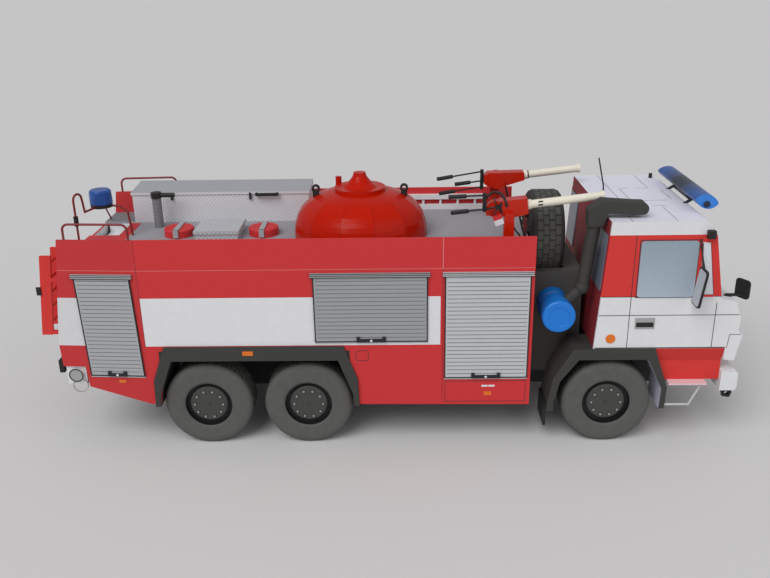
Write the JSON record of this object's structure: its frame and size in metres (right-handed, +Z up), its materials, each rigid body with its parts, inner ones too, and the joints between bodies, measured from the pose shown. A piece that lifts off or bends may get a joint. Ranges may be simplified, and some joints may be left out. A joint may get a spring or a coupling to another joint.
{
  "type": "paper scale model of an airport fire truck",
  "caption": "Card model of an airport fire truck with tank dome, roof monitors, roller shutters and a spare wheel; its wheels turn on wire axles.",
  "frame": {"origin": "on the ground under the middle of the bounding box", "axes": "+X towards the cab, +Y to the truck's left, +Z up"},
  "size_m": [0.2828, 0.0968, 0.1089],
  "materials": {
    "dark_card": "printed dark grey card, matte",
    "axle_wire": "drawn steel wire",
    "tyre_card": "printed dark grey card drum, matte",
    "hub_card": "printed dark grey card disc, matte",
    "red_card": "printed red card, matte, with white printed bands",
    "window_print": "printed blue-grey paper, satin",
    "grey_card": "printed dark grey card, matte",
    "black_card": "black card and wire, satin",
    "white_card": "white card, matte",
    "chequer_card": "card printed with grey chequer plate, matte",
    "blue_card": "blue lacquered card, satin",
    "deck_card": "card printed with grey chequer plate, matte",
    "shutter_print": "paper printed with silver slats, satin",
    "red_wire": "red painted wire and card",
    "hatch_card": "printed red card with grey straps, matte",
    "gloss_red": "red lacquered card, gloss"
  },
  "bodies": {
    "truck": {"chassis": "dark_card", "bearers": "dark_card", "cab_side_right": "red_card", "cab_side_left": "red_card", "cab_front": "red_card", "cab_roof": "red_card", "cab_rear": "red_card", "cab_floor": "red_card", "cab_windows": "window_print", "front_fenders": "grey_card", "mud_flaps": "black_card", "cab_apron": "red_card", "bumper": "white_card", "lamp_boxes": "white_card", "steps": "chequer_card", "light_bar": "blue_card", "light_bar_base": "black_card", "cab_fittings": "black_card", "mirrors": "black_card", "spare_carrier": "dark_card", "spare_tyre": "tyre_card", "spare_hub": "hub_card", "air_filter": "blue_card", "snorkel": "grey_card", "body_side_right": "red_card", "body_side_left": "red_card", "body_front": "red_card", "body_rear": "red_card", "body_floor": "dark_card", "arch_liner": "dark_card", "deck": "deck_card", "rear_well": "white_card", "shutters": "shutter_print", "arch_trims": "grey_card", "rear_lamps": "white_card", "rear_ladder": "red_wire", "rails": "red_wire", "beacon_frame": "red_wire", "beacon": "blue_card", "locker": "chequer_card", "vent_pipe": "deck_card", "hatches": "hatch_card", "tank_dome": "gloss_red", "roof_fittings": "black_card", "deck_ladder": "white_card", "monitors": "gloss_red", "monitor_barrels": "white_card", "monitor_handles": "black_card"},
    "front_wheels": {"front_axle": "axle_wire", "tyre_front_right": "tyre_card", "tyre_front_left": "tyre_card", "front_hubs": "hub_card"},
    "middle_wheels": {"middle_axle": "axle_wire", "tyre_middle_right": "tyre_card", "tyre_middle_left": "tyre_card", "middle_hubs": "hub_card"},
    "rear_wheels": {"rear_axle": "axle_wire", "tyre_rear_right": "tyre_card", "tyre_rear_left": "tyre_card", "rear_hubs": "hub_card"}
  },
  "joints": [
    {"name": "front_axle_spin", "type": "hinge", "parent": "truck", "child": "front_wheels", "pos_m": [0.08847, 0, 0.018], "axis": [0, 1, 0], "continuous": true},
    {"name": "middle_axle_spin", "type": "hinge", "parent": "truck", "child": "middle_wheels", "pos_m": [-0.03343, 0, 0.018], "axis": [0, 1, 0], "continuous": true},
    {"name": "rear_axle_spin", "type": "hinge", "parent": "truck", "child": "rear_wheels", "pos_m": [-0.07473, 0, 0.018], "axis": [0, 1, 0], "continuous": true}
  ]
}
